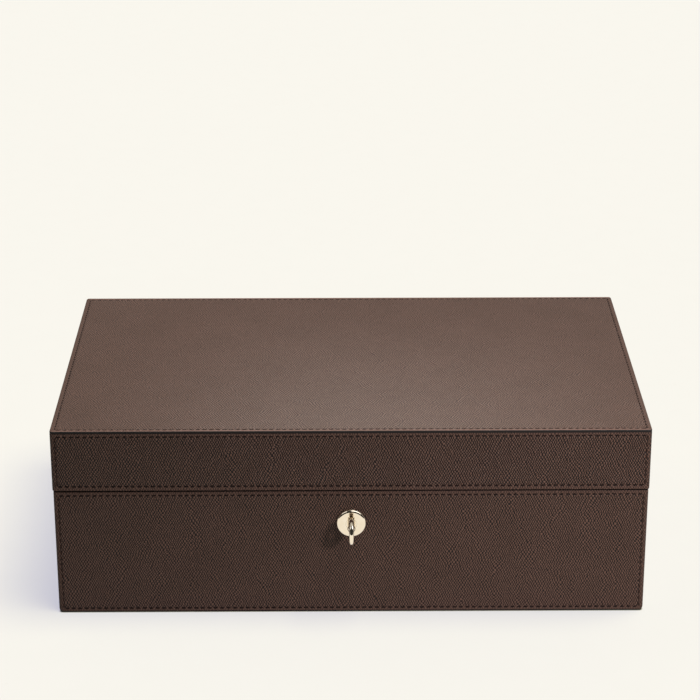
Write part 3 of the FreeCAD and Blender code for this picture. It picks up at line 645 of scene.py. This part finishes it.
def stitches(name, panels, body):
    """Every stitch of some panels as a small twisted tube that rises from one hole and sinks into the next."""
    rings, sides = 8, 7
    verts, faces, tw = [], [], []
    rng = random.Random(name)
    ts = np.linspace(0, 1, rings)
    ang = np.arange(sides) * 2 * math.pi / sides
    for pn in panels:
        hu, hv = pn.row_holes()
        m = len(hu)
        for i in range(m):
            a, b = np.array([hu[i], hv[i]]), np.array([hu[(i + 1) % m], hv[(i + 1) % m]])
            d = b - a
            ln = np.hypot(*d)
            d = d / ln
            side = np.array([-d[1], d[0]])
            upright = float(pn.kinds["left"] == "mitre" and abs(d[1]) > abs(d[0]))
            slant = 0.06 + rng.uniform(-0.04, 0.04)
            lift = 0.17 + rng.uniform(-0.03, 0.03)
            rad = 0.335 + rng.uniform(-0.015, 0.015)
            s = 0.16 + 0.68 * ts
            centre = a[None] + d[None] * (s * ln)[:, None] + side[None] * (slant * (2 * ts - 1))[:, None]
            rise = -0.66 + (0.66 - 0.42 + lift) * np.sin(np.pi * (0.04 + 0.92 * ts)) ** 0.40
            r = rad * (0.80 + 0.20 * np.sin(np.pi * ts) ** 0.5)
            u = centre[:, 0][:, None] + side[0] * (r[:, None] * np.cos(ang)[None])
            v = centre[:, 1][:, None] + side[1] * (r[:, None] * np.cos(ang)[None])
            nn = rise[:, None] + r[:, None] * np.sin(ang)[None]
            w = pn.place(u.ravel(), v.ravel(), nn.ravel())
            o = stitches.count
            verts.append(w)
            tw.append(np.stack([np.repeat(s * ln, sides), np.tile(ang, rings), np.full(rings * sides, upright + rng.random())], -1))
            for k in range(rings - 1):
                for j in range(sides):
                    jj = (j + 1) % sides
                    faces.append((o + k * sides + j, o + (k + 1) * sides + j, o + (k + 1) * sides + jj, o + k * sides + jj))
            faces.append(tuple(o + j for j in range(sides)))
            faces.append(tuple(o + (rings - 1) * sides + j for j in range(sides - 1, -1, -1)))
            stitches.count += rings * sides
    stitches.count = 0
    me = mesh_from(name, np.concatenate(verts), faces, 60)
    put_attr(me, "thread", np.concatenate(tw))
    bm = bmesh.new()
    bm.from_mesh(me)
    bmesh.ops.recalc_face_normals(bm, faces=bm.faces)
    bm.to_mesh(me)
    bm.free()
    return new_object(name, me, THREAD, body)


stitches.count = 0


def side_place(side, w, d):
    if side == "front":
        return lambda u, v, n: np.stack([u, -d / 2 - n, v], -1)
    if side == "back":
        return lambda u, v, n: np.stack([-u, d / 2 + n, v], -1)
    if side == "right":
        return lambda u, v, n: np.stack([w / 2 + n, u, v], -1)
    return lambda u, v, n: np.stack([-w / 2 - n, -u, v], -1)


FOOT_R, FOOT_Z = 1.9, 0.03  # rounding of the base's lower edges at its two ends


def rounded_foot(place):
    """The same place, with the lower left and right edges of the base rounded."""
    def put(u, v, n):
        w = place(u, v, n)
        x, z = w[:, 0], w[:, 2]
        p, q = np.abs(x) - (BASE_W / 2 - FOOT_R), FOOT_Z + FOOT_R - z
        corner = (p > 0) & (q > 0)
        k = np.where(corner, np.maximum(p, q) / np.maximum(np.hypot(p, q), 1e-9), 1)
        w[:, 0] = np.where(corner, np.sign(x) * (BASE_W / 2 - FOOT_R + p * k), x)
        w[:, 2] = np.where(corner, FOOT_Z + FOOT_R - q * k, z)
        return w
    return put


lid_panels, base_panels = [], []
top_place = lambda u, v, n: np.stack([u, v, CASE_H + n], -1)
sides4 = ("left", "right", "bottom", "top")
pn = Panel("lid_top_leather", (-LID_W / 2, -LID_D / 2), (LID_W / 2, LID_D / 2), top_place, {k: "round" for k in sides4}, {"left": 2.4, "right": 2.4, "bottom": 2.35, "top": 2.3}, {"left": 0.4, "right": 0.4, "bottom": 0.35, "top": 0.15}, ((0.42, 0.42), 1.0, 0.0, 0.15), ({"left": 0.12, "right": 0.12, "bottom": 0.38, "top": 0.0}, 1.0), outline_r=CORNER_R)
pn.build(COVER, "lid", "lid_leather_top")
lid_panels.append(pn)
for s in ("front", "back", "left", "right"):
    for part, w, d, z0, z1 in (("lid", LID_W, LID_D, LID_BOT, CASE_H - LEATHER - 0.02), ("base", BASE_W, BASE_D, FOOT_Z, BASE_TOP)):
        half = (w if s in ("front", "back") else d) / 2
        notches = ()
        if s == "back":
            notches = [("bottom" if part == "lid" else "top", sx * HINGE_X - 20.2, sx * HINGE_X + 20.2, 1.25) for sx in (-1, 1)]
        kinds = {"left": "mitre", "right": "mitre", "bottom": "round", "top": "round"}
        rows = {"left": 2.5, "right": 2.5, "bottom": 2.35, "top": 1.75} if part == "lid" else {"left": 2.5, "right": 2.5, "bottom": 2.1, "top": 2.2}
        radius = {"bottom": 0.45, "top": 0.25} if part == "lid" else {"bottom": 0.15, "top": 0.5}
        place = side_place(s, w, d) if part == "lid" else rounded_foot(side_place(s, w, d))
        # the base's lower edge is painted dark 0.70 mm up: edge paint and painted contact shade where it meets the
        # floor
        pn = Panel(f"{part}_{s}_leather", (-half, z0), (half, z1), place, kinds, rows, radius, *((((1.6, 1.6), 0.20, 0.0, 0.8), ({"bottom": 0.0, "top": 0.1}, 1.0)) if part == "lid" else (((0.62, 1.0), 0.14, 0.0, 0.8), ({"bottom": 0.70, "top": 0.12}, 1.0))), notches)
        o = pn.build(COVER, part, f"{part}_leather_{s}")
        if (part, s) == ("base", "front"):
            bore(o, pn.place, (LOCK_X, LOCK_Z), 4.6, 7.4)
        (lid_panels if part == "lid" else base_panels).append(pn)
stitches("lid_stitching", lid_panels, "lid")
stitches("base_stitching", base_panels, "base")

# ============================================================================= rims, linings, tray
BODY_OF = {n: b for b, ns in frame["record"]["behaviour"]["bodies"].items() for n in ns}
for n in ("base_rim_leather", "lid_rim_leather"):
    soften(n, 0.3, RIMLEATHER, BODY_OF[n], 2)
soften("tray_pull_tabs", 0.35, RIMLEATHER, "tray", 2)
for n in ("base_lining_front", "base_lining_back", "base_lining_left", "base_lining_right", "base_floor_lining", "lid_lining_front", "lid_lining_back", "lid_lining_left", "lid_lining_right", "tray_floor_lining"):
    soften(n, 0.3, SUEDE, BODY_OF[n], 2)
for n in ("tray_ledges", "base_dividers", "tray_base_board", "tray_front_wall", "tray_back_wall", "tray_left_wall", "tray_right_wall", "tray_dividers"):
    soften(n, 0.6, SUEDE, BODY_OF[n], 3)
soften("base_underside_pad", 0.3, FELT, "base", 2)

# ============================================================================= fittings
for n in ("hinge_left_base_leaf", "hinge_left_lid_leaf", "hinge_right_base_leaf", "hinge_right_lid_leaf", "lock_selvedge", "lock_link_plate"):
    soften(n, 0.15, SATIN, BODY_OF[n], 2)
for n in ("hinge_pins", "hinge_base_screws", "hinge_lid_screws", "lock_selvedge_screws", "lock_link_screws"):
    soften(n, 0.12, SCREWS, BODY_OF[n], 2)
for n in ("lock_barrel", "lock_plug", "key"):
    NODES[n].data.materials.clear()
    NODES[n].data.materials.append(GILT)
for n in ("lock_case", "lock_cap", "lock_bolt"):
    NODES[n].data.materials.clear()
    NODES[n].data.materials.append(STEEL)
for n, o in NODES.items():
    if n.endswith("_board") and not n.startswith("tray"):
        o.data.materials.clear()
        o.data.materials.append(BOARD)

# ============================================================================= padding
def inflate(name, pts, faces, held, pressure, cap):
    """Blow a closed skin up from inside like stuffed suede, the held points fixed; how far it gives is capped."""
    pts = np.asarray(pts, float)
    scene = bpy.context.scene
    me = bpy.data.meshes.new(name + "_skin")
    me.from_pydata((pts * MM).tolist(), [], faces)
    me.update()
    o = bpy.data.objects.new(name + "_skin", me)
    scene.collection.objects.link(o)
    group = o.vertex_groups.new(name="held")
    group.add([int(i) for i in held], 1.0, "REPLACE")
    mod = o.modifiers.new("cloth", "CLOTH")
    st = mod.settings
    st.vertex_group_mass = "held"
    st.quality = 6
    st.mass = 0.05
    st.tension_stiffness = st.compression_stiffness = 15.0
    st.shear_stiffness, st.bending_stiffness = 5.0, 0.3
    st.use_pressure = True
    st.uniform_pressure_force = pressure
    st.effector_weights.gravity = 0.0
    mod.collision_settings.use_collision = False
    mod.point_cache.frame_start, mod.point_cache.frame_end = 1, 20
    for f in range(1, 21):
        scene.frame_set(f)
    ev = o.evaluated_get(bpy.context.evaluated_depsgraph_get())
    co = np.empty(len(pts) * 3)
    ev.data.vertices.foreach_get("co", co)
    scene.frame_set(1)
    bpy.data.objects.remove(o)
    bpy.data.meshes.remove(me)
    d = co.reshape(-1, 3) / MM - pts
    ln = np.linalg.norm(d, axis=1, keepdims=True)
    return pts + d * np.where(ln > 1e-9, cap * np.tanh(ln / cap) / np.maximum(ln, 1e-9), 0)


def soft_piece(name, pts, faces, body, node):
    """The finished padded piece, its faces split once and smoothed."""
    me = bpy.data.meshes.new(name + "_cage")
    me.from_pydata((np.asarray(pts, float) * MM).tolist(), [], faces)
    me.update()
    o = bpy.data.objects.new(name + "_cage", me)
    bpy.context.scene.collection.objects.link(o)
    sub = o.modifiers.new("split", "SUBSURF")
    sub.levels = sub.render_levels = 1
    out = bpy.data.meshes.new_from_object(o.evaluated_get(bpy.context.evaluated_depsgraph_get()))
    bpy.data.objects.remove(o)
    bpy.data.meshes.remove(me)
    out.name = name
    smooth_mesh(out, 60)
    o = new_object(name, out, PADSUEDE, body, [node])
    return o


def ripple(x, y, seed):
    """Slow unevenness of a hand-laid filling, about one high."""
    r = random.Random(seed)
    out = np.zeros_like(x)
    for _ in range(9):
        a, w = r.uniform(0, 2 * math.pi), r.uniform(22, 60)
        out = out + np.sin((x * math.cos(a) + y * math.sin(a)) * 2 * math.pi / w + r.uniform(0, 6.3))
    return out / 4.0


def make_lid_pad():
    lo, hi = [c / MM for c in np.array(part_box("lid_pad"))]
    z_top, z_low = hi[2], lo[2]
    line = lambda a, b: np.concatenate([[a, a + 0.5, a + 1.5, a + 3.2, a + 5.6], np.linspace(a + 8.6, b - 8.6, int(round((b - a - 17.2) / 4.2)) + 1), [b - 5.6, b - 3.2, b - 1.5, b - 0.5, b]])
    xs, ys = line(lo[0], hi[0]), line(lo[1], hi[1])
    X, Y = np.meshgrid(xs, ys, indexing="ij")
    edge = np.minimum(np.minimum(X - lo[0], hi[0] - X), np.minimum(Y - lo[1], hi[1] - Y))
    t = np.clip(edge / 10.0, 0, 1)
    bulge = np.sqrt(np.clip(1 - (1 - t) ** 2, 0, 1))
    crown = (1 - (X / hi[0]) ** 2) * (1 - (Y / hi[1]) ** 2)
    full = z_top - 0.7 - z_low - 1.0  # thickness beyond the thin edge before the filling swells it
    Z = z_top - 0.7 - full * bulge * (0.70 + 0.30 * crown ** 0.7) + 0.09 * ripple(X, Y, 3) * t
    # between its corners the skin is drawn in a little from the walls
    draw = 0.9 * np.exp(-edge / 2.5)
    PX = X - np.sign(X) * draw * np.where(np.minimum(X - lo[0], hi[0] - X) <= edge + 1e-6, 1 - (Y / hi[1]) ** 2, 0)
    PY = Y - np.sign(Y) * draw * np.where(np.minimum(Y - lo[1], hi[1] - Y) <= edge + 1e-6, 1 - (X / hi[0]) ** 2, 0)
    # creases where the suede is drawn round the edge
    rng = random.Random(8)
    along = np.where(np.minimum(X - lo[0], hi[0] - X) < np.minimum(Y - lo[1], hi[1] - Y), Y, X)
    for _ in range(70):
        c, w, dp, reach = rng.uniform(-134, 134), rng.uniform(3.0, 6.0), rng.uniform(0.10, 0.38), rng.uniform(8, 20)
        Z = Z + dp * np.exp(-(((along - c) / w) ** 2)) * np.clip(1 - edge / reach, 0, 1) * t
    nx, ny = len(xs), len(ys)
    low = np.stack([PX, PY, Z], -1).reshape(-1, 3)
    top = np.stack([X, Y, np.full_like(X, z_top)], -1).reshape(-1, 3)
    n = nx * ny
    g = lambda i, j: i * ny + j
    faces = []
    for i in range(nx - 1):
        for j in range(ny - 1):
            faces.append((g(i, j), g(i, j + 1), g(i + 1, j + 1), g(i + 1, j)))
            faces.append((n + g(i, j), n + g(i + 1, j), n + g(i + 1, j + 1), n + g(i, j + 1)))
    loop = [g(i, 0) for i in range(nx - 1)] + [g(nx - 1, j) for j in range(ny - 1)] + [g(i, ny - 1) for i in range(nx - 1, 0, -1)] + [g(0, j) for j in range(ny - 1, 0, -1)]
    for a, b in zip(loop, loop[1:] + loop[:1]):
        faces.append((a, b, n + b, n + a))
    pts = np.concatenate([low, top])
    held = list(range(n, 2 * n)) + loop
    pts = inflate("lid_pad", pts, faces, held, 1.5, 1.15)
    soft_piece("lid_pad_soft", pts, faces, "lid", "lid_pad")


def make_ring_rolls():
    lo, hi = [c / MM for c in np.array(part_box("ring_rolls"))]
    count = 9
    pitch = (hi[1] - lo[1] + 0.3) / count
    gap = 0.5  # how much smaller the skins start
    pts, faces, held = [], [], []
    for k in range(count):
        y0, y1 = lo[1] + k * pitch + gap, lo[1] + (k + 1) * pitch - 0.3 - gap
        c, r = (y0 + y1) / 2, (y1 - y0) / 2
        z0, z1 = lo[2], hi[2] - gap
        ring = [(c + r * f, z0) for f in (-0.92, -0.46, 0.0, 0.46, 0.92)]
        ring += [(y1, z0 + 1.2), (y1, (z0 + z1 - r) / 2 + 0.6)]
        ring += [(c + r * math.cos(a), z1 - r + r * math.sin(a)) for a in np.linspace(0, math.pi, 11)]
        ring += [(y0, (z0 + z1 - r) / 2 + 0.6), (y0, z0 + 1.2)]
        ring = np.array(ring)
        m = len(ring)
        x0, x1 = lo[0] + gap, hi[0] - gap
        xs = np.concatenate([[x0, x0 + 0.5, x0 + 1.6], np.linspace(x0 + 4.2, x1 - 4.2, 19), [x1 - 1.6, x1 - 0.5, x1]])
        tuck = np.interp(xs, [x0, x0 + 0.5, x0 + 1.6, x0 + 4.2, x1 - 4.2, x1 - 1.6, x1 - 0.5, x1], [0.90, 0.955, 0.985, 1, 1, 0.985, 0.955, 0.90])
        base = sum(len(p) for p in pts)
        for x, f in zip(xs, tuck):
            y = c + (ring[:, 0] - c) * f
            z = z0 + (ring[:, 1] - z0) * f
            z = z + np.where(ring[:, 1] > z0 + 2, 0.16 * ripple(np.full(m, x), y, 20 + k), 0)
            pts.append(np.stack([np.full(m, x), y, z], -1))
        nx = len(xs)
        held += [base + i * m + j for i in range(nx) for j in range(5)]
        for i in range(nx - 1):
            for j in range(m):
                jj = (j + 1) % m
                faces.append((base + i * m + j, base + i * m + jj, base + (i + 1) * m + jj, base + (i + 1) * m + j))
        for end, x, sign in ((0, x0, 1), (nx - 1, x1, -1)):
            inner = sum(len(p) for p in pts)
            mid = np.array([c, (z0 + z1) / 2])
            for f in (0.62, 0.28):
                q = mid + (np.stack([c + (ring[:, 0] - c) * 0.90, z0 + (ring[:, 1] - z0) * 0.90], -1) - mid) * f
                pts.append(np.stack([np.full(m, x), q[:, 0], q[:, 1]], -1))
            pts.append(np.array([[x, *mid]]))
            outer = base + end * m
            for j in range(m):
                jj = (j + 1) % m
                quads = [(outer + j, inner + j, inner + jj, outer + jj), (inner + j, inner + m + j, inner + m + jj, inner + jj), (inner + m + j, inner + 2 * m, inner + m + jj)]
                faces += [q if sign > 0 else q[::-1] for q in quads]
    pts = np.concatenate(pts)
    pts = inflate("ring_rolls", pts, faces, held, 1.5, 0.45)
    soft_piece("ring_rolls_soft", pts, faces, "tray", "ring_rolls")


make_lid_pad()
make_ring_rolls()

# ============================================================================= stage, light, camera
def make_floor():
    """Pale seamless paper that glows evenly as well as taking light, so that shadows on it stay soft and light; where
    it meets the case its glow is darkened, a painted contact shadow.
    """
    me = bpy.data.meshes.new("floor")
    s = 12.0
    me.from_pydata([(-s, -s, 0), (s, -s, 0), (s, s, 0), (-s, s, 0)], [], [(0, 1, 2, 3)])
    o = bpy.data.objects.new("floor", me)
    bpy.context.scene.collection.objects.link(o)
    t = Tree("floor_paper")
    co = t.add("ShaderNodeTexCoord").outputs["Object"]
    paper = t.noise(co, 60.0, 3.0)
    t.set(Base_Color=t.mix(t.remap(paper, 0.3, 0.7), FLOOR_DARK, FLOOR_LIGHT), Roughness=0.9)
    t.bsdf.inputs["Specular IOR Level"].default_value = 0.0
    # painted contact shadow: the paper's glow darkens within a millimetre of the case
    contact_shade = t.add("ShaderNodeAmbientOcclusion")
    contact_shade.samples = 8
    contact_shade.inputs["Distance"].default_value = 1.0 * MM
    t.link(t.mix(t.remap(contact_shade.outputs["AO"], 0.5, 1.0), FLOOR_CONTACT_SHADE, FLOOR_GLOW), t.bsdf.inputs["Emission Color"])
    t.bsdf.inputs["Emission Strength"].default_value = 1.0
    me.materials.append(t.mat)
    return o


CREAM = lin(250, 247, 238)
# the paper's glow, and the painted contact shadow it darkens to
FLOOR_GLOW, FLOOR_CONTACT_SHADE = (0.515, 0.515, 0.620, 1), (0.04, 0.04, 0.048, 1)
FLOOR_DARK, FLOOR_LIGHT = (0.1900, 0.1800, 0.1074, 1), (0.1921, 0.1821, 0.1096, 1)
FLOOR = make_floor()

world = bpy.data.worlds.new("studio")
bpy.context.scene.world = world
world.use_nodes = True
wt = world.node_tree
wt.nodes.clear()


class World(Tree):
    def __init__(self, nt):
        self.nt = nt


# a dark studio in front, a bright one behind and overhead
w = World(wt)
out = w.add("ShaderNodeOutputWorld")
d = w.add("ShaderNodeSeparateXYZ")
w.link(w.add("ShaderNodeTexCoord").outputs["Generated"], d.inputs[0])
X, Y, Z = d.outputs
back = w.remap(Y, -0.22, 0.02)
right = w.remap(X, -0.7, 0.7, 0.85, 1.15)
level = w.math("ADD", 0.03, w.math("MULTIPLY", w.math("MULTIPLY", back, right), 0.56))
light = w.add("ShaderNodeBackground")
w.link(level, light.inputs["Strength"])
light.inputs["Color"].default_value = (1.0, 0.972, 0.915, 1)
seen = w.add("ShaderNodeBackground")
seen.inputs["Color"].default_value = CREAM
seen.inputs["Strength"].default_value = 1.0
sw = w.add("ShaderNodeMixShader")
w.link(w.add("ShaderNodeLightPath").outputs["Is Camera Ray"], sw.inputs[0])
w.link(light.outputs[0], sw.inputs[1])
w.link(seen.outputs[0], sw.inputs[2])
w.link(sw.outputs[0], out.inputs[0])


def place_light(name, la, at, look):
    o = bpy.data.objects.new(name, la)
    bpy.context.scene.collection.objects.link(o)
    o.location = at
    o.rotation_euler = (Vector(look) - Vector(at)).to_track_quat("-Z", "Y").to_euler()
    return o


def sun(name, at, strength, angle, colour=(1, 1, 1)):
    la = bpy.data.lights.new(name, "SUN")
    la.energy, la.angle, la.color = strength, math.radians(angle), colour
    return place_light(name, la, at, (0, 0, 0))


def spot(name, at, look, power, cone, blend, radius, colour=(1, 1, 1)):
    la = bpy.data.lights.new(name, "SPOT")
    la.energy, la.spot_size, la.spot_blend, la.shadow_soft_size, la.color = power, math.radians(cone), blend, radius, colour
    return place_light(name, la, at, look)


def area(name, at, look, size, power, colour=(1, 1, 1)):
    la = bpy.data.lights.new(name, "AREA")
    la.shape = "RECTANGLE"
    la.size, la.size_y = size
    la.energy, la.color = power, colour
    return place_light(name, la, at, look)


def link_light(o, things, state):
    """Keep a lamp off some things, or on them alone."""
    c = bpy.data.collections.new(o.name + "_lit")
    for x in things:
        c.objects.link(x)
    o.light_linking.receiver_collection = c
    for x in c.collection_objects:
        x.light_linking.link_state = state


def off_floor(o):
    """Flag a lamp off the paper, so it lights the case alone."""
    link_light(o, [FLOOR], "EXCLUDE")


SUN_E, FRONT_E, HOT_E = 6.35, 127.0, 13.0
METAL = [NODES[n] for n in ("lock_barrel", "lock_plug", "key")]
link_light(sun("key_sun", (0.265, -0.055, 0.963), SUN_E, 35, (1.0, 1.0, 0.95)), METAL, "EXCLUDE")
link_light(area("card_right", (0.55, -0.36, 0.70), (0.55, -0.36, 0.0), (1.0, 0.36), 2.6), METAL, "INCLUDE")
link_light(area("card_left", (-0.72, -0.36, 0.70), (-0.72, -0.36, 0.0), (0.8, 0.36), 1.0), METAL, "INCLUDE")
link_light(spot("front_spot", (0.95, -1.25, 0.75), (0.13, -0.095, 0.045), FRONT_E, 17, 1.0, 0.12, (1.0, 0.945, 0.95)), METAL + [FLOOR], "EXCLUDE")
for x, k in ((-0.04, 1.0), (0.035, 1.0), (0.11, 0.55)):
    off_floor(spot(f"back_spot_{x}", (x + 0.02, 1.05, 0.72), (x, -0.16, 0.101), HOT_E * k, 8, 1.0, 0.06, (1.0, 0.955, 0.88)))

# camera fitted to the straight edges of the case in the photograph
F_PX, CAM = 2325.4, (-6.00, -1153.78, 565.32)
PITCH, YAW, ROLL = math.radians(21.6846), math.radians(0.3009), math.radians(-0.0740)
fwd = Vector((math.sin(YAW) * math.cos(PITCH), math.cos(YAW) * math.cos(PITCH), -math.sin(PITCH)))
rt = Vector((math.cos(YAW), -math.sin(YAW), 0))
up = rt.cross(fwd)
rt2 = rt * math.cos(ROLL) + up * math.sin(ROLL)
up2 = up * math.cos(ROLL) - rt * math.sin(ROLL)
cam = bpy.data.cameras.new("camera")
cam.sensor_width = 36.0
cam.sensor_fit = "HORIZONTAL"
cam.lens = F_PX / 700 * 36
cam.clip_start, cam.clip_end = 0.05, 60
co = bpy.data.objects.new("camera", cam)
bpy.context.scene.collection.objects.link(co)
m = Matrix((rt2, up2, -fwd)).transposed().to_4x4()
m.translation = Vector(CAM) * MM
co.matrix_world = m
bpy.context.scene.camera = co
bpy.context.scene.view_settings.view_transform = "Standard"
bpy.context.scene.view_settings.look = "None"
